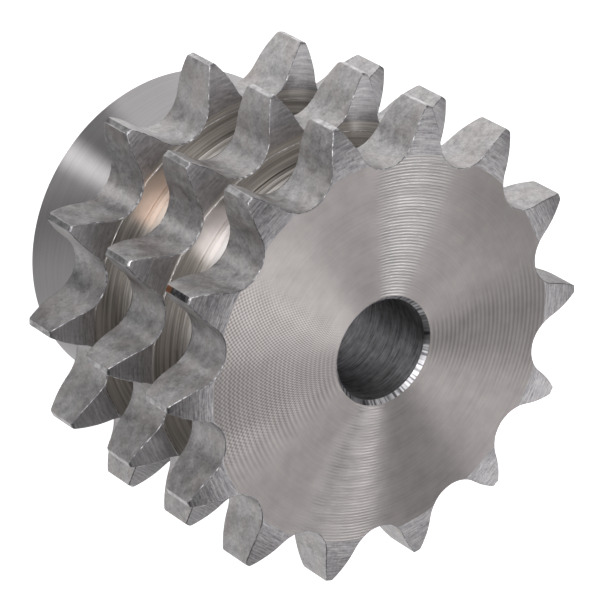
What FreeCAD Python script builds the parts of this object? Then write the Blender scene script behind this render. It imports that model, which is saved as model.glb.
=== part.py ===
import FreeCAD, Part
import math
import os

# A triplex roller chain sprocket: three rows of teeth and a plain hub on one side,
# turned and hobbed from one piece of steel, with a plain pilot bore right through.
#
# The origin is the middle of the hub's end face and +Z runs along the bore to the
# toothed face. +X passes through the middle of a tooth gap. Lengths are in
# millimetres and angles in degrees.

# The chain that the sprocket carries
chain_pitch = 19.05
roller_diameter = 12.07
plate_height = 16.13
strand_pitch = 19.46
strand_count = 3

# The teeth: the roller's seat, the flanks above it and the height of the tips over the
# pitch circle
tooth_count = 14
tooth_width = 10.8
seat_clearance = 0.27
seat_angle = 124.5
flank_radius = 28.0
tip_height = 4.145
tip_edge_bevel = 0.4

# The relief turned on both sides of each row, which thins the teeth towards their tips.
# It lies along an arc, and is cut as a few straight tapers between points of that arc.
relief_reach = 8.8
relief_depth = 1.7
relief_radius = 33.0
relief_tapers = 3

# The grooves between the rows. Their floors clear the edges of the chain's plates by
# the two margins of the usual formula for a chain wheel.
plate_factor = 1.04
plate_margin = 0.76
groove_corner_bevel = 0.35

# The low shoulders that the grooving tool left on the walls of the grooves. The wheel
# ran slightly out of true at that step, so they lie off centre.
shoulder_inset = 0.75
shoulder_height = 0.25
shoulder_runout = 1.2
shoulder_direction = 45.0

# The hub
hub_diameter = 65.0
hub_length = 20.88
hub_chamfer = 1.0

# The pilot bore
bore_diameter = 20.0
bore_chamfer = 0.8

# How far a cutting shape runs past the metal that it cuts
cutter_overrun = 1.0

# Sizes that follow from these
half_tooth_angle = math.pi / tooth_count
pitch_radius = chain_pitch / (2 * math.sin(half_tooth_angle))
seat_radius = roller_diameter / 2 + seat_clearance
tip_radius = pitch_radius + tip_height
relief_start_radius = tip_radius - relief_reach
shoulder_radius = relief_start_radius - shoulder_inset
groove_floor_diameter = chain_pitch / math.tan(half_tooth_angle) - plate_factor * plate_height - plate_margin
groove_floor_radius = groove_floor_diameter / 2
rows_length = (strand_count - 1) * strand_pitch + tooth_width
overall_length = hub_length + rows_length

origin = FreeCAD.Vector(0, 0, 0)
up = FreeCAD.Vector(0, 0, 1)


def row_bottom(strand):
    """The height of a row's lower side. Row 0 is the one next to the hub."""
    return hub_length + strand * strand_pitch


def circles_of(shape, radius):
    """The round edges of a shape that have the given radius."""
    found = []
    for edge in shape.Edges:
        curve = edge.Curve
        if isinstance(curve, Part.Circle) and abs(curve.Radius - radius) < 1e-6:
            found.append(edge)
    return found


def relief_line():
    """Points of the relief as (radius, depth), from where it starts out to the tips.

    They lie evenly on an arc of relief_radius that ends at relief_depth and is rounded
    towards the tip.
    """
    chord = math.hypot(relief_reach, relief_depth)
    half_turn = math.asin(chord / 2 / relief_radius)
    lean = math.atan2(relief_depth, relief_reach)
    centre_radius = relief_start_radius - relief_radius * math.sin(lean - half_turn)
    centre_depth = relief_radius * math.cos(lean - half_turn)
    points = []
    for step in range(relief_tapers + 1):
        slope = lean - half_turn + 2 * half_turn * step / relief_tapers
        radius = centre_radius + relief_radius * math.sin(slope)
        depth = centre_depth - relief_radius * math.cos(slope)
        points.append((radius, depth))
    return points


def tooth_row(bottom):
    """One row as turned: a disc with flat sides that is relieved and bevelled to its rim."""
    top = bottom + tooth_width
    relief = relief_line()
    lower_side = [FreeCAD.Vector(radius, 0, bottom + depth) for radius, depth in relief]
    upper_side = [FreeCAD.Vector(radius, 0, top - depth) for radius, depth in reversed(relief)]
    axis_points = [FreeCAD.Vector(0, 0, top), FreeCAD.Vector(0, 0, bottom)]
    corners = lower_side + upper_side + axis_points
    section = Part.Face(Part.makePolygon(corners + corners[:1]))
    disc = section.revolve(origin, up, 360)
    return disc.makeChamfer(tip_edge_bevel, circles_of(disc, tip_radius))


def groove_shoulder(wall_height, direction):
    """A low, bevelled disc on a groove's wall, off centre, facing up (1) or down (-1)."""
    angle = math.radians(shoulder_direction)
    along = FreeCAD.Vector(math.cos(angle), math.sin(angle), 0)
    centre = along * shoulder_runout + up * wall_height
    small_radius = shoulder_radius - shoulder_height
    return Part.makeCone(shoulder_radius, small_radius, shoulder_height, centre, up * direction)


def groove_shoulders():
    """A shoulder on each wall that faces another row."""
    discs = []
    for strand in range(strand_count - 1):
        discs.append(groove_shoulder(row_bottom(strand) + tooth_width, 1))
        discs.append(groove_shoulder(row_bottom(strand + 1), -1))
    return discs


def hub():
    """The hub, with its outer end chamfered, up to the middle of the first row."""
    height = hub_length + tooth_width / 2
    cylinder = Part.makeCylinder(hub_diameter / 2, height)
    rims = circles_of(cylinder, hub_diameter / 2)
    end_rim = min(rims, key=lambda rim: rim.Curve.Center.z)
    return cylinder.makeChamfer(hub_chamfer, [end_rim])


def core():
    """The round bar under the grooves, from the middle of the first row to the last's."""
    start = up * (hub_length + tooth_width / 2)
    return Part.makeCylinder(groove_floor_radius, rows_length - tooth_width, start)


def turned_blank():
    """The whole blank as turned, before the teeth are cut."""
    rows = [tooth_row(row_bottom(strand)) for strand in range(strand_count)]
    blank = hub().multiFuse(rows + groove_shoulders() + [core()]).removeSplitter()
    return blank.makeChamfer(groove_corner_bevel, circles_of(blank, groove_floor_radius))


def mirrored(point):
    """The point on the other side of the gap's middle line, which is the X axis."""
    return FreeCAD.Vector(point.x, -point.y, point.z)


def tooth_gap():
    """The space that the hob cuts between two teeth, on +X, through all the rows.

    A seat arc about the pitch point, a little larger than the roller, runs smoothly on
    into a rounded flank on each side. The flanks are arcs of flank_radius that touch
    the seat's ends, and stop a little past the tips.
    """
    seat_centre = FreeCAD.Vector(pitch_radius, 0, 0)
    seat_bottom = seat_centre - FreeCAD.Vector(seat_radius, 0, 0)
    end_angle = math.pi - math.radians(seat_angle) / 2
    outwards = FreeCAD.Vector(math.cos(end_angle), math.sin(end_angle), 0)
    seat_end = seat_centre + outwards * seat_radius
    flank_centre = seat_end + outwards * flank_radius

    outer_radius = tip_radius + cutter_overrun
    distance = flank_centre.Length
    cosine = (outer_radius ** 2 + distance ** 2 - flank_radius ** 2) / (2 * outer_radius * distance)
    flank_end_angle = math.atan2(flank_centre.y, flank_centre.x) - math.acos(cosine)
    flank_end = FreeCAD.Vector(math.cos(flank_end_angle), math.sin(flank_end_angle), 0) * outer_radius
    towards_middle = (seat_end + flank_end) * 0.5 - flank_centre
    towards_middle.normalize()
    flank_middle = flank_centre + towards_middle * flank_radius
    outside = FreeCAD.Vector(outer_radius + cutter_overrun, 0, 0)

    outline = Part.Wire([
        Part.Arc(mirrored(seat_end), seat_bottom, seat_end).toShape(),
        Part.Arc(seat_end, flank_middle, flank_end).toShape(),
        Part.Arc(flank_end, outside, mirrored(flank_end)).toShape(),
        Part.Arc(mirrored(flank_end), mirrored(flank_middle), mirrored(seat_end)).toShape(),
    ])
    outline.translate(up * (hub_length - cutter_overrun))
    return Part.Face(outline).extrude(up * (rows_length + 2 * cutter_overrun))


def tooth_gaps():
    """The gap repeated round the wheel."""
    gap = tooth_gap()
    gaps = []
    for index in range(tooth_count):
        turned_gap = gap.copy()
        turned_gap.rotate(origin, up, 360 * index / tooth_count)
        gaps.append(turned_gap)
    return gaps


def pilot_bore():
    """The bore and the chamfer at each of its mouths."""
    radius = bore_diameter / 2
    mouth_radius = radius + bore_chamfer
    drill = Part.makeCylinder(radius, overall_length)
    lower_mouth = Part.makeCone(mouth_radius, radius, bore_chamfer)
    upper_start = up * (overall_length - bore_chamfer)
    upper_mouth = Part.makeCone(radius, mouth_radius, bore_chamfer, upper_start)
    return drill.multiFuse([lower_mouth, upper_mouth])


def sprocket():
    """The finished wheel: the turned blank less the tooth gaps and the bore."""
    return turned_blank().cut(tooth_gaps() + [pilot_bore()])


os.makedirs("parts", exist_ok=True)
wheel = sprocket()
wheel.exportStep("parts/sprocket.step")
print("solids", len(wheel.Solids), "faces", len(wheel.Faces), "valid", wheel.isValid())
print("overall length", round(overall_length, 2), "tip diameter", round(2 * tip_radius, 2))
print("pitch diameter", round(2 * pitch_radius, 2), "groove floor", round(groove_floor_diameter, 2))
print("volume in cubic centimetres", round(wheel.Volume / 1000, 2))
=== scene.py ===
# %% [markdown]
# # A chain sprocket, turned and hobbed from one piece of steel
#
# The real wheel is one piece of bright steel. A bar was faced and turned, two grooves were
# cut into it so that three rows are left, and a hob cut the tooth gaps through all the rows
# at once. What the eye sees is therefore mostly tool marks: rings on the faces, mottled gap
# walls and dark grooves.
#
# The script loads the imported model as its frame, works out one fine skin for the wheel with
# numpy, gives each kind of cut its own steel, and sets up the floor, the sky and the lamps
# of a plain studio. Lengths are named in millimetres, and they are turned to metres where
# the mesh is made.

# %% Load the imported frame
import bmesh
import bpy
import numpy as np
from mathutils import Matrix


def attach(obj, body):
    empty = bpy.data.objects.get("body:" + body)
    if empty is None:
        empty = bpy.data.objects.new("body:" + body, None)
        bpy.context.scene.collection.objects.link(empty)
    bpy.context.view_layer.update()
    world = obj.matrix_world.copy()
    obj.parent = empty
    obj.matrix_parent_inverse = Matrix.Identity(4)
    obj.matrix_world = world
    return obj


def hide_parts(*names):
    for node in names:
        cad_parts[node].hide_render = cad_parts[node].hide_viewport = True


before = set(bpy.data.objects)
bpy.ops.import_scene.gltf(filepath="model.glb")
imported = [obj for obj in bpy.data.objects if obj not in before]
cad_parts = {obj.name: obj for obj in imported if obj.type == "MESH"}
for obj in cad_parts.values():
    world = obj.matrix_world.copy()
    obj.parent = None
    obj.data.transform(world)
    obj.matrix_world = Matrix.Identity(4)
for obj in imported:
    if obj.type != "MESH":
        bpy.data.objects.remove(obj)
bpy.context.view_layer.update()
mm = 0.001

# %% [markdown]
# ## Directions
#
# The camera and the lamps are all placed by an azimuth, an elevation and a distance, as a
# photographer would say it. Two angles give a unit vector, and the object's own turn is
# worked out from that vector, so nothing has to be aimed by hand.

# %% Directions and turns


def direction(azimuth, elevation):
    """The unit vector at an azimuth from +X and an elevation over the floor, in degrees:
    (cos e cos a, cos e sin a, sin e)."""
    turn, rise = np.radians([azimuth, elevation])
    return np.array([np.cos(rise) * np.cos(turn), np.cos(rise) * np.sin(turn), np.sin(rise)])


def looking_back(place_direction, roll):
    """A turn whose +Z is place_direction and whose +Y is as upright as it can be, then
    rolled: right is up cross out, and upright is out cross right."""
    right = np.cross([0, 0, 1], place_direction)
    right = right / np.linalg.norm(right)
    upright = np.cross(place_direction, right)
    turn = np.radians(roll)
    rolled_right = np.cos(turn) * right + np.sin(turn) * upright
    rolled_up = np.cos(turn) * upright - np.sin(turn) * right
    return np.column_stack([rolled_right, rolled_up, place_direction])


def placed(turn, place):
    """The world matrix of an object with that turn, at a place in millimetres."""
    matrix = np.eye(4)
    matrix[:3, :3] = turn
    matrix[:3, 3] = np.asarray(place) * mm
    return Matrix(matrix.tolist())


print("azimuth 90 points along", direction(90, 0).round(3))

# %% [markdown]
# ## The camera
#
# The photograph looks down on the toothed face from about 47 degrees, and the camera is
# rolled so far that the hub points to the upper left. It could be placed by eye, but the
# teeth show every degree of error, so its place was fitted to the outline of the wheel in
# the photograph. The lens is long, so the rows shrink only a little with distance.

# %% Camera
camera_azimuth = -24.8817
camera_elevation = 47.395
camera_roll = 120.3375
camera_distance = 773.164
camera_aim = np.array([-3.959, 1.532, 39.196])
camera_lens = 243.055

scene = bpy.context.scene
camera_data = bpy.data.cameras.new("camera")
camera_data.lens = camera_lens
camera_data.sensor_width = 36
camera_data.clip_start = 0.05
camera_data.clip_end = 20
camera = bpy.data.objects.new("camera", camera_data)
towards_camera = direction(camera_azimuth, camera_elevation)
camera.matrix_world = placed(looking_back(towards_camera, camera_roll),
                             camera_aim + camera_distance * towards_camera)
scene.collection.objects.link(camera)
scene.camera = camera
scene.view_settings.view_transform = "Standard"
print("camera at", [round(v, 4) for v in camera.matrix_world.translation])

# %% [markdown]
# ## The outline of the teeth
#
# A chain wheel's gap is a roller seat that runs on into a rounded flank on each side. Both
# are arcs, so the whole outline can be written as one radius for each angle round the
# wheel, and no drawing has to be traced. The tips are short pieces of the blank's rim.

# %% Arcs of one gap
tooth_count = 14
chain_pitch = 19.05
seat_radius = 6.305
seat_angle = 124.5
flank_radius = 28.0
tip_radius = 46.95
tip_corner = 0.06

half_tooth = np.pi / tooth_count
pitch_radius = chain_pitch / (2 * np.sin(half_tooth))
seat_end_turn = np.pi - np.radians(seat_angle) / 2
flank_centre_x = pitch_radius + (seat_radius + flank_radius) * np.cos(seat_end_turn)
flank_centre_y = (seat_radius + flank_radius) * np.sin(seat_end_turn)
flank_centre_distance = np.hypot(flank_centre_x, flank_centre_y)
flank_centre_angle = np.arctan2(flank_centre_y, flank_centre_x)
seat_end_angle = np.arctan2(seat_radius * np.sin(seat_end_turn),
                            pitch_radius + seat_radius * np.cos(seat_end_turn))
print("pitch diameter", round(2 * pitch_radius, 2), "over the gaps' bottoms",
      round(2 * (pitch_radius - seat_radius), 2))


def outline_radius(angle):
    """The wheel's radius at an angle from the middle of a gap.

    On the seat it is the near crossing of the ray with a circle about the pitch point:
    p cos a - sqrt(s^2 - (p sin a)^2). On the flank it is the far crossing with the
    flank's circle. The smooth lesser of that and the tip radius rounds the tips' corners.
    """
    seat_root = np.sqrt(np.maximum(seat_radius ** 2 - (pitch_radius * np.sin(angle)) ** 2, 0))
    seat = pitch_radius * np.cos(angle) - seat_root
    turn = angle - flank_centre_angle
    flank_offset = flank_centre_distance * np.sin(turn)
    flank_root = np.sqrt(np.maximum(flank_radius ** 2 - flank_offset ** 2, 0))
    flank = flank_centre_distance * np.cos(turn) + flank_root
    wall = np.where(angle < seat_end_angle, seat, flank)
    return (wall + tip_radius - np.hypot(wall - tip_radius, tip_corner)) / 2


# %% [markdown]
# ## Where the columns stand
#
# The skin is a grid, and each column of its points stands at one angle round the wheel.
# Even angles would waste points on the seats and cut the tips' corners off. So the angles
# are spread by path length plus turning, and seven more stand close beside each corner.

# %% Angles of the columns
samples_per_half_tooth = 21
turning_weight = 1.5
beside_corner_offsets = np.array([-0.3, -0.12, -0.05, 0, 0.05, 0.12, 0.3])
clear_of_corner = 0.7


def even_steps(angle, radius, count, weight):
    """Picks count + 1 of the angles at even steps of path length plus weighted turning."""
    x, y = radius * np.cos(angle), radius * np.sin(angle)
    step_x, step_y = np.gradient(x), np.gradient(y)
    heading = np.unwrap(np.arctan2(step_y, step_x))
    travel = np.cumsum(np.hypot(step_x, step_y) + weight * np.abs(np.gradient(heading)))
    wanted = np.linspace(travel[0], travel[-1], count + 1)
    return np.interp(wanted, travel, angle)


dense_angle = np.linspace(0, half_tooth, 6001)
dense_radius = outline_radius(dense_angle)
corner_angle = dense_angle[np.argmax(dense_radius > tip_radius - tip_corner)]
beside_corner = corner_angle + beside_corner_offsets / tip_radius
half_angles = even_steps(dense_angle, dense_radius, samples_per_half_tooth - len(beside_corner),
                         turning_weight)
half_angles[0], half_angles[-1] = 0, half_tooth
near_corner = np.abs(half_angles - corner_angle) < beside_corner_offsets[-1] / tip_radius
half_angles[near_corner] = corner_angle - clear_of_corner / tip_radius
half_angles = np.sort(np.concatenate([half_angles, beside_corner]))
tooth_angles = np.concatenate([half_angles, 2 * half_tooth - half_angles[-2:0:-1]])
column_angle = np.add.outer(2 * half_tooth * np.arange(tooth_count), tooth_angles).ravel()
folded = np.abs((column_angle + half_tooth) % (2 * half_tooth) - half_tooth)
column_radius = outline_radius(folded)
column_count = len(column_angle)
print("columns", column_count, "radii", round(column_radius.min(), 2), round(column_radius.max(), 2))

# %% [markdown]
# ## One profile, carried round the wheel
#
# The skin could be three discs and a tube joined with booleans, but those leave ragged
# edges. Instead one closed line runs from the bore's mouth out over the toothed face, down
# the gap wall, back in along the row's other side, over the groove's floor and so on to the
# hub and back up the bore. At each column that line is bent to the outline of the teeth, so
# the skin is a grid that closes on itself both ways. Where a tooth gap cuts a station of the
# line off, its points fall together and are merged afterwards.
#
# Edges on real steel always have a small radius, and it is what makes them show as thin
# bright lines, so each edge gets one. It is larger at the tips, which are bevelled. There
# the inset is wider than the corner's own rounding, so a few columns beside each corner
# cross by up to 0.075 mm and their slivers lie folded in the row's side. They are narrower
# than a pixel of this render, but a few reach its surface. It is a fault of this skin, and
# a copy of it that is to be made from the mesh should have those columns spread first.

# %% Sizes across the profile
tooth_width = 10.8
strand_pitch = 19.46
hub_length = 20.88
hub_radius = 32.5
hub_chamfer = 1.0
bore_radius = 10.0
bore_chamfer = 0.8
floor_radius = 32.965
floor_corner = 0.2
overall = hub_length + 2 * strand_pitch + tooth_width
print("overall height", round(overall, 2))

# %% Rounded edges of the outline
gap_edge = 0.13
tip_edge = 0.35
tip_zone_start = tip_radius - 0.25
tip_zone_depth = 0.2

column_x = column_radius * np.cos(column_angle)
column_y = column_radius * np.sin(column_angle)
along_x = np.roll(column_x, -1) - np.roll(column_x, 1)
along_y = np.roll(column_y, -1) - np.roll(column_y, 1)
along_length = np.hypot(along_x, along_y)
outward_x, outward_y = along_y / along_length, -along_x / along_length
tip_share = np.clip((column_radius - tip_zone_start) / tip_zone_depth, 0, 1)
edge_radius = gap_edge + (tip_edge - gap_edge) * tip_share ** 2 * (3 - 2 * tip_share)
inset_x = column_x - outward_x * edge_radius
inset_y = column_y - outward_y * edge_radius
inset_radius = np.hypot(inset_x, inset_y)
inset_turn = (np.arctan2(inset_y, inset_x) - column_angle + np.pi) % (2 * np.pi) - np.pi
print("edge radii from", round(edge_radius.min(), 2), "to", round(edge_radius.max(), 2))

# %% A station of the profile
stations = []
finishes = []


def station(radius, angle, height, finish):
    """Adds one ring of points, (r cos a, r sin a, h) at each column. finish names the cut
    that the strip of skin after it was made by."""
    ring = np.zeros((column_count, 3))
    ring[:, 0] = radius * np.cos(angle)
    ring[:, 1] = radius * np.sin(angle)
    ring[:, 2] = height
    stations.append(ring)
    finishes.append(finish)


print("a station has", column_count, "points")

# %% [markdown]
# ## Relief and shoulder
#
# A chain wheel's rows get thinner towards the tips, so that the chain's plates can find
# their way on. Here that relief is an arc. The walls of the grooves also carry a low
# shoulder. Its circle is a little off centre, as if it had been cut in another clamping,
# and its bevel catches the light as a thin line.

# %% Relief and shoulder
relief_start = 38.15
relief_depth = 1.7
relief_arc = 33.0
shoulder_radius = 37.4
shoulder_runout = 1.2
shoulder_direction = 45.0
# each step is (how far inside the shoulder's circle, how high over the wall): a shallow
# run-out, a steep step and a bevel of 45 degrees
shoulder_steps = ((0, 0), (0.15, 0.03), (0.17, 0.17), (0.25, 0.25))


def relief(radius):
    """How far the turned relief lies under the row's side: nothing up to its start, then
    an arc whose chord drops relief_depth at the tip radius."""
    reach = tip_radius - relief_start
    half_turn = np.arcsin(np.hypot(reach, relief_depth) / 2 / relief_arc)
    lean = np.arctan2(relief_depth, reach)
    centre = relief_start - relief_arc * np.sin(lean - half_turn)
    centre_depth = relief_arc * np.cos(lean - half_turn)
    beyond = np.maximum(radius, relief_start) - centre
    return centre_depth - np.sqrt(relief_arc ** 2 - beyond ** 2)


def shoulder_reach():
    """The distance from the axis to the shoulder's circle, whose middle is off the axis:
    e cos b + sqrt(R^2 - (e sin b)^2), with b the angle from the direction of the run-out."""
    turn = column_angle - np.radians(shoulder_direction)
    root = np.sqrt(shoulder_radius ** 2 - (shoulder_runout * np.sin(turn)) ** 2)
    return shoulder_runout * np.cos(turn) + root


print("relief at 42 mm", round(float(relief(42.0)), 2), "at the tips", round(float(relief(tip_radius)), 2))

# %% [markdown]
# ## Sides, edges and walls of a row
#
# Each side of a row is a fan of rings. The inner ones are plain circles. The outer ones
# share out what is left up to the gap's edge, so that they follow the teeth. A quarter
# circle then turns each side into the gap wall, and the wall runs straight down.

# %% Sides of a row
relief_shares = (0.2, 0.45, 0.7, 1.0)
relief_rings = len(relief_shares) + 1
inside_edge = 0.1
bend_start = 30.0


def side_rings(level, facing, inner_radii, with_shoulder):
    """The rings of one side of a row from inside to outside, as (radius, angle, height).

    Rings of a fixed radius stop at the gap's edge. The last ones share out what is left
    between the start of the relief and that edge.
    """
    limit = inset_radius - inside_edge
    fixed = [np.full(column_count, radius) for radius in inner_radii]
    if with_shoulder:
        fixed = fixed + [shoulder_reach() - inset for inset, rise in shoulder_steps]
    fixed.append(np.full(column_count, relief_start))
    start = np.minimum(relief_start, limit)
    shared = [start + (limit - start) * share for share in relief_shares]
    radii = np.sort(np.minimum(np.vstack([fixed, shared]), limit), axis=0)
    radii = np.vstack([radii, [inset_radius]])
    bend = np.clip((radii - bend_start) / (inset_radius - bend_start), 0, 1)
    angles = column_angle + inset_turn * bend
    heights = level - facing * relief(radii)
    if with_shoulder:
        insets, rises = zip(*shoulder_steps)
        heights = heights + facing * np.interp(shoulder_reach() - radii, insets, rises)
    return radii, angles, heights


print("rings of a plain side", 1 + relief_rings, "and its inner ones")

# %% Edges of a row
edge_turns = (30, 60, 90)
wall_start = 0.15


def edge_rings(level, facing):
    """The rounded edge between a row's side and the gap wall: a quarter circle, r (1 - sin t)
    inside the wall and r (1 - cos t) under the side, and one more ring down the wall."""
    rings = []
    for turn in np.radians(edge_turns):
        back = edge_radius * (1 - np.sin(turn))
        x, y = column_x - outward_x * back, column_y - outward_y * back
        drop = relief(column_radius) + edge_radius * (1 - np.cos(turn))
        rings.append((np.hypot(x, y), np.arctan2(y, x), level - facing * drop))
    drop = relief(column_radius) + edge_radius + wall_start
    rings.append((column_radius, column_angle, level - facing * drop))
    return rings


print("rings of an edge", len(edge_turns) + 1)

# %% A whole row
wall_shares = (0.35, 0.65)


def row(bottom, front, back):
    """A row of teeth from its upper side, over the gap walls, to its lower side. front and
    back are (inner radii, with shoulder, finish of the flat, finish of the relief)."""
    top = bottom + tooth_width
    inner_radii, with_shoulder, flat_finish, relief_finish = front
    rings = list(zip(*side_rings(top, 1, inner_radii, with_shoulder)))
    for index, ring in enumerate(rings):
        is_flat = index < len(rings) - 1 - relief_rings
        is_edge = index == len(rings) - 1 or (with_shoulder and index == len(inner_radii))
        station(*ring, "edge" if is_edge else flat_finish if is_flat else relief_finish)
    for index, ring in enumerate(edge_rings(top, 1)):
        station(*ring, "edge" if index < len(edge_turns) - 1 else "hobbed")
    for share in wall_shares:
        station(column_radius, column_angle, bottom + tooth_width * (1 - share), "hobbed")
    for index, ring in enumerate(edge_rings(bottom, -1)[::-1]):
        station(*ring, "hobbed" if index == 0 else "edge")
    inner_radii, with_shoulder, flat_finish, relief_finish = back
    rings = list(zip(*side_rings(bottom, -1, inner_radii, with_shoulder)))[::-1]
    for index, ring in enumerate(rings):
        station(*ring, relief_finish if index < relief_rings else flat_finish)


print("wall of a row", tooth_width, "mm high with", len(wall_shares), "rings between its edges")

# %% [markdown]
# ## Floors of the grooves
#
# The tool that cut the grooves left two low ridges on each floor. They could be drawn as
# lines, but only a real ridge shines on one flank and is dark on the other.

# %% Floor of a groove
ridge_heights = (3.0, 1.4)
ridge_half_width = 0.22
ridge_rise = 0.09


def groove_floor(low, high):
    """The floor between two rows, from the upper row's wall down to the lower row's: a
    small corner arc at each end, r (1 - cos t) by r (1 - sin t), and the two ridges."""
    for turn in np.radians([60, 30, 0]):
        radius = floor_radius + floor_corner * (1 - np.cos(turn))
        station(radius, column_angle, high - floor_corner * (1 - np.sin(turn)), "grooved")
    for ridge in ridge_heights:
        for offset, rise in ((ridge_half_width, 0), (0, ridge_rise), (-ridge_half_width, 0)):
            station(floor_radius + rise, column_angle, low + ridge + offset, "grooved")
    for turn in np.radians([0, 30, 60]):
        radius = floor_radius + floor_corner * (1 - np.cos(turn))
        station(radius, column_angle, low + floor_corner * (1 - np.sin(turn)), "grooved")


print("groove", round(strand_pitch - tooth_width, 2), "mm wide and",
      round(tip_radius - floor_radius, 1), "mm deep")

# %% [markdown]
# ## The whole profile
#
# The line starts at the bore's mouth and goes over the three rows from the top down. Then
# come the hub, its end face and the bore. Beside each corner a second station stands close
# by. It holds the smooth shading of the flat part, which would otherwise bend towards the
# corner.

# %% The whole profile
hold = 0.2
root_fillet = 0.09
root_holds = (0.3, 0.6)

# the radii of the plain rings on each kind of side
face_radii = [bore_radius + bore_chamfer, 11.2, 16, 24, 31, 35.5]
groove_radii = [floor_radius + floor_corner, 33.6, 35.3]
rear_radii = [hub_radius + root_holds[0], 33.2, 35.3]
toothed_face = (face_radii, False, "faced", "relieved")
groove_wall = (groove_radii, True, "grooved", "inner")
rear_wall = (rear_radii, False, "faced", "relieved")
row(hub_length + 2 * strand_pitch, toothed_face, groove_wall)
groove_floor(hub_length + strand_pitch + tooth_width, hub_length + 2 * strand_pitch)
row(hub_length + strand_pitch, groove_wall, groove_wall)
groove_floor(hub_length + tooth_width, hub_length + strand_pitch)
row(hub_length, groove_wall, rear_wall)
mouth_radius = bore_radius + bore_chamfer
hub_and_bore = ((hub_radius + root_fillet, hub_length - root_fillet, "hub"),
                (hub_radius, hub_length - root_holds[0], "hub"),
                (hub_radius, hub_length - root_holds[1], "hub"),
                (hub_radius, hub_chamfer + hold, "hub"),
                (hub_radius, hub_chamfer, "hub"),
                (hub_radius - hub_chamfer, 0, "faced"),
                (hub_radius - hub_chamfer - hold, 0, "faced"),
                (20, 0, "faced"),
                (mouth_radius + hold, 0, "faced"),
                (mouth_radius, 0, "chamfer"),
                (bore_radius, bore_chamfer, "bored"),
                (bore_radius, bore_chamfer + hold, "bored"),
                (bore_radius, overall / 2, "bored"),
                (bore_radius, overall - bore_chamfer - hold, "bored"),
                (bore_radius, overall - bore_chamfer, "chamfer"))
for radius, height, finish in hub_and_bore:
    station(radius, column_angle, height, finish)
print("stations", len(stations), "grid triangles", 2 * len(stations) * column_count)

# %% [markdown]
# ## From the grid to a mesh
#
# The points of all the stations go into one mesh with a face between each four neighbours.
# The grid closes on itself both ways, so there is no seam to hide. The lands at the tips
# are parts of the gap walls' strips in the grid, but they were turned and not hobbed, so
# their faces get a finish of their own.

# %% Finish of each face
finish_names = ["faced", "relieved", "hobbed", "edge", "grooved", "hub", "chamfer", "bored", "rim", "inner"]
strip_finishes = np.array([finish_names.index(finish) for finish in finishes])
face_finishes = np.repeat(strip_finishes[:, None], column_count, axis=1)
rim_limit = tip_radius - tip_corner
on_rim = (column_radius > rim_limit) & (np.roll(column_radius, -1) > rim_limit)
is_hobbed = strip_finishes == finish_names.index("hobbed")
face_finishes[np.ix_(is_hobbed, on_rim)] = finish_names.index("rim")
print("faces of each finish", dict(zip(finish_names, np.bincount(face_finishes.ravel()).tolist())))

# %% Mesh from a closed grid


def closed_grid(name, rings, material_indices):
    """A mesh from rings of points: face (j, i) joins ring j, column i with the next ring
    and the next column, and the last ring and column join on to the first."""
    grid = np.array(rings)
    ring_count, columns = grid.shape[:2]
    this = np.arange(ring_count * columns).reshape(ring_count, columns)
    after, beside = np.roll(this, -1, axis=0), np.roll(this, -1, axis=1)
    quads = np.stack([this, after, np.roll(after, -1, axis=1), beside], axis=-1).reshape(-1, 4)
    mesh = bpy.data.meshes.new(name)
    mesh.vertices.add(this.size)
    mesh.vertices.foreach_set("co", (grid * mm).astype(np.float32).ravel())
    mesh.loops.add(quads.size)
    mesh.loops.foreach_set("vertex_index", quads.ravel())
    mesh.polygons.add(len(quads))
    mesh.polygons.foreach_set("loop_start", np.arange(0, quads.size, 4))
    mesh.polygons.foreach_set("material_index", material_indices.ravel())
    mesh.polygons.foreach_set("use_smooth", np.ones(len(quads), bool))
    mesh.update(calc_edges=True)
    return mesh


wheel_mesh = closed_grid("sprocket_steel", stations, face_finishes)
print("grid of", len(wheel_mesh.vertices), "points and", len(wheel_mesh.polygons), "faces")

# %% [markdown]
# ## Welding
#
# Points that fell together are welded, which also removes the faces that have no area. An
# edge of a clean skin has two faces, so the cell counts the others. None has only one, so
# the skin is closed. But 166 edges have four, each under 0.01 mm long, where columns that
# cross beside a tip's corner were welded together. The volume says whether the faces point
# outwards on the whole: it would be negative if they didn't.

# %% Weld the skin
weld_distance = 0.002
sharp_angle = 35

work = bmesh.new()
work.from_mesh(wheel_mesh)
bmesh.ops.remove_doubles(work, verts=work.verts, dist=weld_distance * mm)
open_edges = sum(1 for edge in work.edges if len(edge.link_faces) < 2)
crowded_edges = sum(1 for edge in work.edges if len(edge.link_faces) > 2)
volume = work.calc_volume(signed=True)
work.to_mesh(wheel_mesh)
work.free()
wheel_mesh.set_sharp_from_angle(angle=np.radians(sharp_angle))
wheel = bpy.data.objects.new("sprocket_steel", wheel_mesh)
scene.collection.objects.link(wheel)
triangles = sum(len(face.vertices) - 2 for face in wheel_mesh.polygons)
print("triangles", triangles, "volume in cm3", round(volume * 1e6, 2))
print("open edges", open_edges, "edges with more than two faces", crowded_edges)

# %% [markdown]
# ## Steel, cut in different ways
#
# All the surfaces are the same bright steel, which on such wheels is usually a plain carbon
# steel. So they share a metallic shader and differ by what the tool left. Turning leaves
# rings about the axis, and rings spread a highlight across themselves. That gives a turned
# face its streaks through the middle, so those steels are anisotropic, with the tangent
# running round the axis.
#
# The patterns are made of shader nodes, and not of painted pictures, because a pattern that
# is worked out from the place on the wheel has no seams and stays sharp close up. Most tool
# marks are finer than the render can show. Those are drawn coarser, and the comments say so.

# %% Colours and nodes


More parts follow.
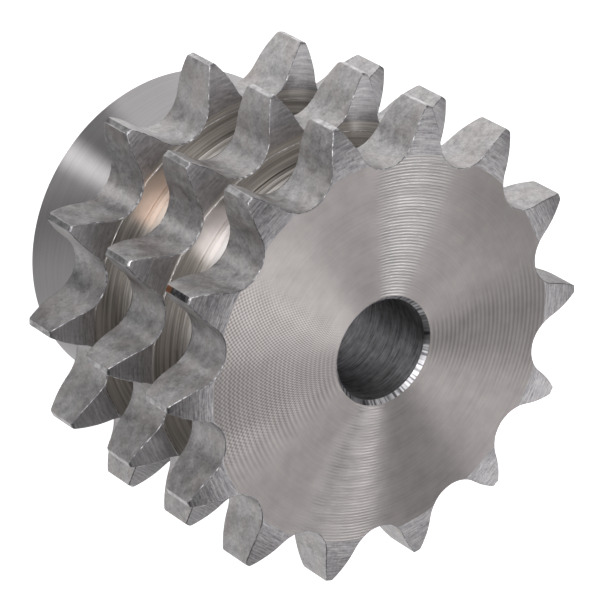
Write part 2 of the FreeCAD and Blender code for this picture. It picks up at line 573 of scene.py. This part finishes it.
def linear(hex_colour):
    """An sRGB hex colour as linear red, green, blue and alpha: c / 12.92 below 0.04045, and
    ((c + 0.055) / 1.055) ^ 2.4 above it."""
    channels = np.array([int(hex_colour[i:i + 2], 16) for i in (1, 3, 5)]) / 255
    low = channels / 12.92
    high = ((channels + 0.055) / 1.055) ** 2.4
    return tuple(np.where(channels <= 0.04045, low, high)) + (1.0,)


def add(tree, kind, inputs, **settings):
    """Adds a shader node with its settings. An input is a value, an output to link, or a
    node whose first output in use is linked."""
    made = tree.nodes.new("ShaderNode" + kind)
    for name, value in settings.items():
        setattr(made, name, value)
    for key, value in inputs.items():
        if isinstance(value, bpy.types.Node):
            value = next(output for output in value.outputs if output.enabled)
        if isinstance(value, bpy.types.NodeSocket):
            tree.links.new(value, made.inputs[key])
        else:
            made.inputs[key].default_value = value
    return made


print("light steel", [round(float(c), 3) for c in linear("#dedbdd")])

# %% [markdown]
# ## A bare steel
#
# Each steel starts from the same few nodes. They measure the place on the wheel, so that a
# pattern can be asked for in millimetres from the axis or over the floor. A cutting tool
# leaves saw-tooth marks whose long flanks all face a little to one side. They are far too
# fine to model, but together they tilt the whole reflection, so the normal leans with them.

# %% A bare steel


def new_steel(name, roughness, anisotropy, lean=(0, 0)):
    """An empty steel, as a dictionary with its material, its tree, its shader, the place on
    the wheel in metres, the tangent that runs round the axis, the radius and the height in
    millimetres, the azimuth in radians and the normal. lean is the slope of the tool marks'
    flanks, outwards and upwards."""
    material = bpy.data.materials.new(name)
    material.use_nodes = True
    tree = material.node_tree
    tree.nodes.clear()
    place = add(tree, "TexCoord", {}).outputs["Object"]
    around = add(tree, "VectorMath", {0: (0, 0, 1), 1: place}, operation="CROSS_PRODUCT")
    tangent = add(tree, "VectorMath", {0: around}, operation="NORMALIZE")
    distance = add(tree, "VectorMath", {0: around}, operation="LENGTH")
    radius = add(tree, "Math", {0: distance, 1: 1 / mm}, operation="MULTIPLY")
    split = add(tree, "SeparateXYZ", {"Vector": place})
    height = add(tree, "Math", {0: split.outputs["Z"], 1: 1 / mm}, operation="MULTIPLY")
    azimuth = add(tree, "Math", {0: split.outputs["Y"], 1: split.outputs["X"]}, operation="ARCTAN2")
    own = add(tree, "NewGeometry", {}).outputs["Normal"]
    outward = add(tree, "VectorMath", {0: tangent, 1: (0, 0, 1)}, operation="CROSS_PRODUCT")
    leant = add(tree, "VectorMath", {0: outward, 1: (lean[0],) * 3, 2: own}, operation="MULTIPLY_ADD")
    leant = add(tree, "VectorMath", {0: leant, 1: (0, 0, lean[1])}, operation="ADD")
    normal = add(tree, "VectorMath", {0: leant}, operation="NORMALIZE")
    shader = add(tree, "BsdfPrincipled", {"Metallic": 1.0, "Roughness": roughness,
                                          "Anisotropic": anisotropy, "Anisotropic Rotation": 0.25,
                                          "Tangent": tangent})
    add(tree, "OutputMaterial", {"Surface": shader})
    return {"material": material, "tree": tree, "shader": shader, "place": place, "tangent": tangent,
            "radius": radius, "height": height, "azimuth": azimuth, "normal": normal}


def finish_with(steel, colour, roughness, roughness_mix, bump_height, bump_depth):
    """Sets the colour, lets the roughness run between two values as the mix goes from 0.3 to
    0.7, and raises a bump whose full height is bump_depth mm."""
    tree, shader = steel["tree"], steel["shader"]
    gloss = add(tree, "MapRange", {"Value": roughness_mix, "From Min": 0.3, "From Max": 0.7,
                                   "To Min": roughness[0], "To Max": roughness[1]})
    bump = add(tree, "Bump", {"Strength": 1.0, "Distance": bump_depth * mm, "Height": bump_height,
                              "Normal": steel["normal"]})
    tree.links.new(next(output for output in colour.outputs if output.enabled), shader.inputs["Base Color"])
    tree.links.new(gloss.outputs["Result"], shader.inputs["Roughness"])
    tree.links.new(bump.outputs["Normal"], shader.inputs["Normal"])
    print(steel["material"].name, "has", len(tree.nodes), "nodes")


steels = {}
print("a steel is finished with a colour, a roughness and a bump")

# %% [markdown]
# ## Patterns that a cutting tool leaves
#
# Three patterns are used again and again. Scratches are noise that is stretched round the
# axis. A wave is the tool's even feed. A sector limits a pattern to some of the azimuths,
# because the marks on this face are clearer in some places than in others.

# %% Scratches and waves
turn_length = 40


def scratches(steel, measure, length, width, detail):
    """Broken rings, about length mm long and width mm wide. It is a 4-D noise: three
    coordinates go round with the tangent, and the fourth is the measure across the rings."""
    lap = add(steel["tree"], "VectorMath", {0: steel["tangent"], "Scale": turn_length / length},
              operation="SCALE")
    across = add(steel["tree"], "Math", {0: steel[measure], 1: 1.0 / width}, operation="MULTIPLY")
    return add(steel["tree"], "TexNoise", {"Vector": lap, "W": across, "Scale": 1.0, "Detail": detail},
               noise_dimensions="4D")


def wave(steel, measure, per_unit):
    """The sine of a measure that turns that many times per millimetre, or per round of the
    azimuth when the measure is that."""
    turns = per_unit if measure == "azimuth" else 2 * np.pi * per_unit
    phase = add(steel["tree"], "Math", {0: steel[measure], 1: turns}, operation="MULTIPLY")
    return add(steel["tree"], "Math", {0: phase}, operation="SINE")


print("a scratch is measured on a circle of", turn_length, "mm radius")

# %% Sectors, spots and mixes
sector_core = 0.3
spot_core = 0.6


def sector(steel, middle, reach, strength=1.0):
    """A share with its full strength round the azimuth in the middle, and nothing from that
    many degrees beside it: the cosine of the angle from the middle, stretched smoothly
    between its values at reach and at three tenths of it."""
    turned = add(steel["tree"], "Math", {0: steel["azimuth"], 1: np.radians(middle)},
                 operation="SUBTRACT")
    closeness = add(steel["tree"], "Math", {0: turned}, operation="COSINE")
    return add(steel["tree"], "MapRange", {"Value": closeness, "From Min": np.cos(np.radians(reach)),
                                           "From Max": np.cos(np.radians(sector_core * reach)),
                                           "To Max": strength}, interpolation_type="SMOOTHSTEP")


def near(steel, spot, reach, strength=1.0):
    """A share with its full strength at a spot given in millimetres, and nothing at that
    reach from it: the distance, stretched smoothly from reach to six tenths of it."""
    away = add(steel["tree"], "VectorMath", {0: steel["place"], 1: tuple(np.array(spot) * mm)},
               operation="DISTANCE")
    return add(steel["tree"], "MapRange", {"Value": away, "From Min": reach * mm,
                                           "From Max": spot_core * reach * mm, "To Max": strength},
               interpolation_type="SMOOTHSTEP")


def weighted(steel, *parts):
    """The sum of several patterns, each times its share: p1 s1 + p2 s2 + and so on."""
    total = 0.0
    for pattern, share in parts:
        total = add(steel["tree"], "Math", {0: pattern, 1: share, 2: total}, operation="MULTIPLY_ADD")
    return total


def between(steel, colours, mix, spread):
    """A colour that runs from the first to the second as the mix crosses the spread."""
    turn = add(steel["tree"], "MapRange", {"Value": mix, "From Min": spread[0], "From Max": spread[1]})
    return add(steel["tree"], "Mix", {"Factor": turn, 6: linear(colours[0]), 7: linear(colours[1])},
               data_type="RGBA")


half_way = (np.cos(np.radians(30)) + np.cos(np.radians(sector_core * 30))) / 2
print("a sector with a reach of 30 degrees is at half strength",
      round(float(np.degrees(np.arccos(half_way))), 1), "degrees from its middle")

# %% [markdown]
# ## Faced steel: the toothed face and the hub's end
#
# Bright steel, faced on a lathe. A facing tool usually moves 0.1 to 0.3 mm in each turn, and
# a pixel of this render is about 0.2 mm on the wheel, so its grooves are too fine to show.
# They are drawn coarser: 0.6 mm apart in the two streaks of light, and 0.95 to 1 mm apart at the sides. To
# the eye it is a warm light grey whose shine stays towards the lamps when the wheel turns. The marks
# themselves are fixed to the wheel, and are drawn clearest where the photograph shows them. In the two
# streaks the colour is also painted lighter, a painted highlight that is fixed to the wheel as well.

# %% Faced steel and its streaks
faced = new_steel("faced_steel", 0.37, 0.95, lean=(-0.096, 0))
tree = faced["tree"]
steels["faced"] = faced["material"]
fine = scratches(faced, "radius", 30, 0.35, 2.0)
uneven = scratches(faced, "radius", 15, 1.2, 2.0)
upper_streak = sector(faced, 272, 17)
lower_streak = sector(faced, 88, 21)
streaks = weighted(faced, (upper_streak, 1.0), (lower_streak, 0.9))
marked = add(tree, "Math", {0: streaks, 1: uneven}, operation="MULTIPLY")
ring_height = add(tree, "Math", {0: marked, 1: 2.6, 2: 0.08}, operation="MULTIPLY_ADD")
feed = add(tree, "Math", {0: wave(faced, "radius", 1 / 0.6), 1: ring_height}, operation="MULTIPLY")
print("feed rings 0.6 mm apart, nodes so far", len(tree.nodes))

# %% [markdown]
# On one side of the face two sets of marks cross, and it looks woven. That is drawn as
# rings 0.95 mm apart times 250 spokes, one for each 0.6 mm at the middle of the face. Plain
# rings 1 mm apart are added over a part of it and on the opposite side, as bands.

# %% Weave, bands, darker sectors and painted highlight of the faced steel
crossed = add(tree, "Math", {0: wave(faced, "radius", 1 / 0.95), 1: wave(faced, "azimuth", 250)},
              operation="MULTIPLY")
band_share = weighted(faced, (sector(faced, 20, 28), 0.6), (sector(faced, 187, 25), 0.48))
cloud = add(tree, "TexNoise", {"Vector": faced["place"], "Scale": 1 / (3.0 * mm), "Detail": 5.0})
pattern = weighted(faced, (crossed, sector(faced, 5, 33, 2.2)), (wave(faced, "radius", 1.0), band_share),
                   (fine, 1.0), (cloud, 1.2))
warm_grey = between(faced, ("#908a89", "#c5bfbe"), pattern, (0.1, 2.1))
outer = add(tree, "MapRange", {"Value": faced["radius"], "From Min": 22.0, "From Max": 34.0})
# the outer part of the face is darker in two sectors of azimuth
darker_sectors = weighted(faced, (sector(faced, 14, 16), 0.42), (sector(faced, 237, 34), 0.42))
darker_outer_share = add(tree, "Math", {0: outer, 1: darker_sectors}, operation="MULTIPLY")
darkened_grey = add(tree, "Mix", {"Factor": darker_outer_share, 6: warm_grey, 7: linear("#7c7876")}, data_type="RGBA")
# the colour is painted lighter in the two streaks of light: a painted highlight
painted_streak_highlight = weighted(faced, (upper_streak, 0.2), (lower_streak, 0.08))
face_colour = add(tree, "Mix", {"Factor": painted_streak_highlight, 6: darkened_grey, 7: linear("#e3e4e7")}, data_type="RGBA")
finish_with(faced, face_colour, (0.34, 0.4), fine, feed, 0.03)

# %% [markdown]
# ## Relieved steel: the thinned sides of the teeth
#
# The same steel, turned to an arc with the tooth gaps breaking up the cut. Scratches of turning are usually
# about 0.1 mm wide. They are drawn 0.3 mm wide and 3 mm long, with a grain of 0.6 mm between them. It looks
# darker and rougher than the face. The sides that face a groove look lighter in the photograph, so they get
# a copy of the same steel that is painted lighter: painted light for the light that is lost between the
# rows.

# %% Relieved steel
# the second steel is the first one painted lighter, as painted light for the sides inside the grooves
for finish, name, colours, depth in (("relieved", "relieved_steel", ("#6e6c6f", "#cbc8ca"), 0.045),
                                     ("inner", "relieved_steel_painted_lighter", ("#9a989b", "#dedbdd"), 0.03)):
    relieved = new_steel(name, 0.4, 0.3, lean=(-0.048, 0))
    tree = relieved["tree"]
    steels[finish] = relieved["material"]
    scraped = scratches(relieved, "radius", 3, 0.3, 4.0)
    grain = add(tree, "TexNoise", {"Vector": relieved["place"], "Scale": 1 / (0.6 * mm), "Detail": 4.0})
    colour = between(relieved, colours, weighted(relieved, (scraped, 0.7), (grain, 0.3)), (0.3, 0.7))
    scored = weighted(relieved, (grain, 1.0), (scraped, 0.8))
    finish_with(relieved, colour, (0.34, 0.44), grain, scored, depth)

# %% [markdown]
# ## Hobbed steel: the gap walls
#
# The same steel again, cut by a hob, which leaves small facets and no rings. The walls are
# blotchy at 1.8 mm and grainy at 0.5 mm, with no direction. A faint tan in spots of about
# 5 mm looks like oil that has dried on them.

# %% Hobbed steel
hobbed = new_steel("hobbed_steel", 0.42, 0.0)
tree = hobbed["tree"]
steels["hobbed"] = hobbed["material"]
blotches = add(tree, "TexNoise", {"Vector": hobbed["place"], "Scale": 1 / (1.8 * mm), "Detail": 5.0})
grain = add(tree, "TexNoise", {"Vector": hobbed["place"], "Scale": 1 / (0.5 * mm), "Detail": 3.0})
mixed = weighted(hobbed, (blotches, 0.6), (grain, 0.4))
grey = between(hobbed, ("#929193", "#d2d1d2"), mixed, (0.34, 0.66))
oily = add(tree, "TexNoise", {"Vector": hobbed["place"], "Scale": 1 / (5.0 * mm), "Detail": 3.0})
squared = add(tree, "Math", {0: oily, 1: oily}, operation="MULTIPLY")
tan_share = add(tree, "Math", {0: squared, 1: 0.8}, operation="MULTIPLY")
tanned = add(tree, "Mix", {"Factor": tan_share, 6: grey, 7: linear("#b8aca6")}, data_type="RGBA")
finish_with(hobbed, tanned, (0.38, 0.5), blotches, mixed, 0.06)

# %% [markdown]
# ## Worn edges
#
# Where two cuts meet, deburring and handling have rubbed the steel smooth, so it is shinier in short
# lengths of about 0.9 mm. Those lengths are also painted lighter, as painted glints, so an edge shows as a
# broken bright line.

# %% Worn edges
worn_edge = new_steel("worn_edge_steel", 0.3, 0.0)
tree = worn_edge["tree"]
steels["edge"] = worn_edge["material"]
rubbed_and_glint_share = add(tree, "TexNoise", {"Vector": worn_edge["place"], "Scale": 1 / (0.9 * mm), "Detail": 2.0})
# the light end of this colour is painted glints on the rubbed lengths
edge_colour = between(worn_edge, ("#878588", "#e6e5e5"), rubbed_and_glint_share, (0.48, 0.7))
finish_with(worn_edge, edge_colour, (0.4, 0.26), rubbed_and_glint_share, rubbed_and_glint_share, 0.02)

# %% [markdown]
# ## Rim steel: the lands at the tips
#
# The tips are what is left of the turned blank, a little scuffed, with a grain of 1.4 mm.
# One tip is darker over its upper part and has a rust spot near its lower end. Both are mixed over the grey
# near a spot given in millimetres, and a noise of 1.2 mm frays them.

# %% Rim steel
rim = new_steel("rim_steel", 0.44, 0.2)
tree = rim["tree"]
steels["rim"] = rim["material"]
grain = add(tree, "TexNoise", {"Vector": rim["place"], "Scale": 1 / (1.4 * mm), "Detail": 4.0})
colour = between(rim, ("#a3a1a2", "#dddbdb"), grain, (0.35, 0.65))
frayed = add(tree, "TexNoise", {"Vector": rim["place"], "Scale": 1 / (1.2 * mm), "Detail": 3.0})
for spot, reach, stain_and_painted_tint in (((45.8, -10.5, 66.0), 5.0, "#4b4a4d"), ((45.8, -10.5, 61.4), 2.4, "#9a6a50")):
    dark_and_rust_share = add(tree, "Math", {0: near(rim, spot, reach, 1.8), 1: frayed}, operation="MULTIPLY")
    colour = add(tree, "Mix", {"Factor": dark_and_rust_share, 6: colour, 7: linear(stain_and_painted_tint)}, data_type="RGBA")
finish_with(rim, colour, (0.38, 0.48), grain, grain, 0.03)

# %% [markdown]
# ## Grooved steel: floors and walls of the grooves
#
# Turned with a grooving tool, and warmer in tone than the rest, as if oil had dried there. Its colour is
# also painted lighter than the face's, as painted light for the light that is lost between the rows.
# Its rings are finer than the render shows, so they are drawn 0.5 mm wide. On a floor they step along the
# height and on a wall along the radius, so they are measured by the sum of both. One place on each floor,
# where the lamps shine into the grooves, has a painted highlight: a warmer tint on the lower floor and a
# paler one on the upper floor.

# %% Grooved steel
grooved = new_steel("grooved_steel", 0.36, 0.6)
tree = grooved["tree"]
steels["grooved"] = grooved["material"]
grooved["across"] = add(tree, "Math", {0: grooved["height"], 1: grooved["radius"]}, operation="ADD")
fine = scratches(grooved, "across", 30, 0.5, 3.0)
oil = add(tree, "TexNoise", {"Vector": grooved["place"], "Scale": 1 / (14 * mm), "Detail": 3.0})
# the light colours are painted light that makes up for the light lost inside the grooves
colour = between(grooved, ("#9b9793", "#ebe6e1"), weighted(grooved, (fine, 0.8), (oil, 0.2)), (0.34, 0.66))
# these two spots are painted highlights: a warm and a pale tint where the lamps shine into the grooves
for spot, stain_and_painted_tint in (((29.2, -17.0, 34.0), "#e4d6cc"), ((29.2, -17.0, 53.5), "#ebe6e4")):
    colour = add(tree, "Mix", {"Factor": near(grooved, spot, 7.0), 6: colour, 7: linear(stain_and_painted_tint)},
                 data_type="RGBA")
finish_with(grooved, colour, (0.32, 0.44), fine, fine, 0.03)

# %% [markdown]
# ## Turned steel: the hub
#
# Turned along its length with a fine feed, so its marks are the shallowest here, drawn as
# soft rings 0.3 mm wide. Their flanks face a little down, towards the hub's end, so the hub
# shows what stands slightly lower than a plain cylinder would.

# %% Turned hub
hub = new_steel("turned_hub_steel", 0.37, 0.95, lean=(0, -0.055))
steels["hub"] = hub["material"]
fine = scratches(hub, "height", 25, 0.3, 3.0)
finish_with(hub, between(hub, ("#b1aeaf", "#bfbcbd"), fine, (0.3, 0.7)), (0.35, 0.39), fine, fine, 0.005)

# %% [markdown]
# ## Chamfered steel: the bore's mouth
#
# Short ticks lie across the chamfer, as a countersink leaves when it chatters. They are
# noise along the azimuth alone, with one step for each 0.65 mm of the chamfer, and a mottle
# of 2.2 mm makes them uneven.

# %% Chamfer at the bore
chamfer = new_steel("chamfered_steel", 0.36, 0.2)
tree = chamfer["tree"]
steels["chamfer"] = chamfer["material"]
mottle = add(tree, "TexNoise", {"Vector": chamfer["place"], "Scale": 1 / (2.2 * mm), "Detail": 2.0})
steps_per_radian = 16.0
along = add(tree, "Math", {0: chamfer["azimuth"], 1: steps_per_radian}, operation="MULTIPLY")
chatter = add(tree, "TexNoise", {"W": along, "Scale": 1.0, "Detail": 1.0}, noise_dimensions="1D")
ticks = weighted(chamfer, (mottle, 0.4), (chatter, 0.6))
tick_colour = between(chamfer, ("#6e6c70", "#eceaed"), ticks, (0.38, 0.62))
finish_with(chamfer, tick_colour, (0.3, 0.42), mottle, ticks, 0.04)

# %% [markdown]
# ## Bored steel: inside the bore
#
# Bored and then left as it was. The rings of boring are finer than the render shows, so they are drawn 0.35
# mm wide, and they are smeared in spots of 1.2 mm. The bore looks dark because it mostly sees itself, and
# not because its steel is darker. Its colour is painted lighter than the face's steel, as painted light for
# the light that is lost inside the bore.

# %% Bored steel
bored = new_steel("bored_steel", 0.34, 0.75)
tree = bored["tree"]
steels["bored"] = bored["material"]
fine = scratches(bored, "height", 16, 0.35, 4.0)
smeared = add(tree, "TexNoise", {"Vector": bored["place"], "Scale": 1 / (1.2 * mm), "Detail": 5.0})
# the light colours are painted light for the light lost inside the bore
bore_colour = between(bored, ("#959496", "#ebeaec"), weighted(bored, (fine, 0.7), (smeared, 0.3)),
                      (0.34, 0.66))
finish_with(bored, bore_colour, (0.29, 0.36), smeared, fine, 0.012)

# %% [markdown]
# ## The skin takes its steels
#
# The faces already hold the number of their finish, so the steels only have to be appended
# in that order. The skin rides on the frame's one body and stands in for its solid.

# %% Steels on the skin
for finish in finish_names:
    wheel_mesh.materials.append(steels[finish])
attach(wheel, "root")
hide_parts("sprocket")
print("materials", [material.name for material in wheel_mesh.materials])

# %% [markdown]
# ## The floor
#
# Polished metal shows its surroundings, so the floor and the sky matter as much as the
# lamps. The camera sees a white floor that still takes a faint shadow. A real studio isn't
# white all round, though, and the hub and the tips show that, so in reflections the floor
# has lighter and darker zones by its azimuth. Light that bounces off it sees plain white.

# %% Zones of the floor
floor_levels = ((-180, 0.5), (-150, 0.75), (-125, 1.25), (-104, 1.15), (-70, 1.0), (-57, 0.95),
                (-47, 0.25), (-38, 0.2), (-29, 1.55), (-20, 0.35), (-5, 0.2), (20, 0.6), (66, 0.85),
                (110, 0.9), (150, 0.65), (180, 0.5))
brightest = 1.6

floor_paint = bpy.data.materials.new("white_floor")
floor_paint.use_nodes = True
tree = floor_paint.node_tree
tree.nodes.clear()
split = add(tree, "SeparateXYZ", {"Vector": add(tree, "TexCoord", {}).outputs["Object"]})
azimuth = add(tree, "Math", {0: split.outputs["Y"], 1: split.outputs["X"]}, operation="ARCTAN2")
turn = add(tree, "MapRange", {"Value": azimuth, "From Min": -np.pi, "From Max": np.pi})
zones = add(tree, "ValToRGB", {"Fac": turn})
zones.color_ramp.interpolation = "EASE"
while len(zones.color_ramp.elements) < len(floor_levels):
    zones.color_ramp.elements.new(0.5)
for element, (degrees, level) in zip(zones.color_ramp.elements, floor_levels):
    element.position = (degrees + 180) / 360
for element, (degrees, level) in zip(zones.color_ramp.elements, floor_levels):
    element.color = (level / brightest,) * 3 + (1,)
print("zones of the floor", len(zones.color_ramp.elements))

# %% [markdown]
# The floor's shader is chosen by the kind of ray. To the camera it is matt paint with a
# glow, which is white but lets a shadow through. To a glossy ray it is the glow of its zone
# alone. To all other light it is matt paint.

# %% Paint of the floor
white_glow = 0.95 / brightest
rays = add(tree, "LightPath", {})
glossy = rays.outputs["Is Glossy Ray"]
seen = add(tree, "Math", {0: rays.outputs["Is Camera Ray"], 1: glossy}, operation="MAXIMUM")
seen = add(tree, "Math", {0: seen, 1: rays.outputs["Is Transmission Ray"]}, operation="MAXIMUM")
matt = add(tree, "BsdfDiffuse", {"Color": linear("#f2f2f2")})
shown = add(tree, "Mix", {"Factor": glossy, 6: (white_glow,) * 3 + (1,), 7: zones}, data_type="RGBA")
glow = add(tree, "Emission", {"Color": shown, "Strength": brightest})
shaded = add(tree, "AddShader", {0: matt, 1: glow})
lit = add(tree, "MixShader", {0: glossy, 1: shaded, 2: glow})
paint = add(tree, "MixShader", {0: seen, 1: matt, 2: lit})
add(tree, "OutputMaterial", {"Surface": paint})
print("nodes of the floor's paint", len(tree.nodes))

# %% Floor
floor_size = 4.0
corners = np.array([(-1, -1, 0), (1, -1, 0), (1, 1, 0), (-1, 1, 0)]) * floor_size / 2
floor_mesh = bpy.data.meshes.new("floor")
floor_mesh.from_pydata(corners.tolist(), [], [(0, 1, 2, 3)])
floor_mesh.materials.append(floor_paint)
floor = bpy.data.objects.new("floor", floor_mesh)
scene.collection.objects.link(floor)
print("floor", floor_size, "m across")

# %% [markdown]
# ## The sky
#
# The sky is white to the camera, so the picture's ground is plain. In reflections it is
# nearly dark, with a broad glow on the far side and a shade towards the camera, as if the
# photographer stood in a dim room. That contrast makes bare metal look like metal.

# %% Sky
sky_level = 0.027
glow_level = 0.737
glow_azimuth = 132.0
shade_level = 0.542
darkest = 0.02

world = bpy.data.worlds.new("studio")
scene.world = world
world.use_nodes = True
tree = world.node_tree
tree.nodes.clear()
look = add(tree, "TexCoord", {}).outputs["Generated"]
glow_direction = tuple(direction(glow_azimuth, 0))
far_side = add(tree, "VectorMath", {0: look, 1: glow_direction}, operation="DOT_PRODUCT")
far_side = add(tree, "Math", {0: far_side, 1: 0.0}, operation="MAXIMUM")
glow = add(tree, "Math", {0: far_side, 1: 2.0}, operation="POWER")
level = add(tree, "Math", {0: glow, 1: glow_level, 2: sky_level}, operation="MULTIPLY_ADD")
near_side = add(tree, "VectorMath", {0: look, 1: tuple(towards_camera)}, operation="DOT_PRODUCT")
near_side = add(tree, "Math", {0: near_side, 1: 0.0}, operation="MAXIMUM")
level = add(tree, "Math", {0: near_side, 1: -shade_level, 2: level}, operation="MULTIPLY_ADD")
level = add(tree, "Math", {0: level, 1: darkest}, operation="MAXIMUM")
rays = add(tree, "LightPath", {})
white_to = add(tree, "Math", {0: rays.outputs["Is Camera Ray"], 1: rays.outputs["Is Transmission Ray"]},
               operation="MAXIMUM")
strength = add(tree, "Mix", {"Factor": white_to, 2: level, 3: 1.0})
sky = add(tree, "Background", {"Color": (1, 1, 1, 1), "Strength": strength})
add(tree, "OutputWorld", {"Surface": sky})
print("sky from", sky_level, "to", round(sky_level + glow_level, 3))

# %% [markdown]
# ## The lamps
#
# Softboxes give turned steel its streaks, because rings spread the shine of a lamp into a
# line through the face's middle. Their places and powers were tuned against the
# photograph. The low one, the one behind, the strip and the slit stand on the far side,
# where the toothed face mirrors them to the camera. The front and the near one stand on the
# camera's side, for the teeth and the hub, and the edge one stands low beside the wheel.
# The top one keeps the face from going dark when it is seen from above.

# %% Lamps
lamp_aim = np.array([0, 0, 40])


def softbox(name, azimuth, elevation, distance, width, depth, brightness):
    """A rectangular lamp that faces the wheel. The brightness is what a mirror would show
    of it, 1 being white, so its power is brightness times pi times its area."""
    lamp = bpy.data.lights.new(name, "AREA")
    lamp.shape = "RECTANGLE"
    lamp.size = width * mm
    lamp.size_y = depth * mm
    lamp.energy = brightness * np.pi * width * depth * mm * mm
    made = bpy.data.objects.new(name, lamp)
    out = direction(azimuth, elevation)
    made.matrix_world = placed(looking_back(out, 0), lamp_aim + distance * out)
    made.visible_camera = False
    scene.collection.objects.link(made)
    print(name, "power", round(lamp.energy, 2))


softbox("softbox_low", 155.9, 22.5, 966, 160, 780, 1.95)
softbox("softbox_behind", 130.4, 57.5, 200, 76, 27, 1.59)
softbox("softbox_strip", 190.0, 52.4, 545, 447, 41, 4.1)
softbox("softbox_slit", 189.0, 52.4, 540, 70, 41, 4.0)
softbox("softbox_top", 334.4, 86.0, 700, 320, 320, 0.75)
softbox("softbox_front", 334.4, 53.5, 663, 525, 302, 2.35)
softbox("softbox_near", 328.4, 30.2, 200, 477, 267, 0.83)
softbox("softbox_edge", 250.0, 20.0, 700, 600, 180, 1.0)
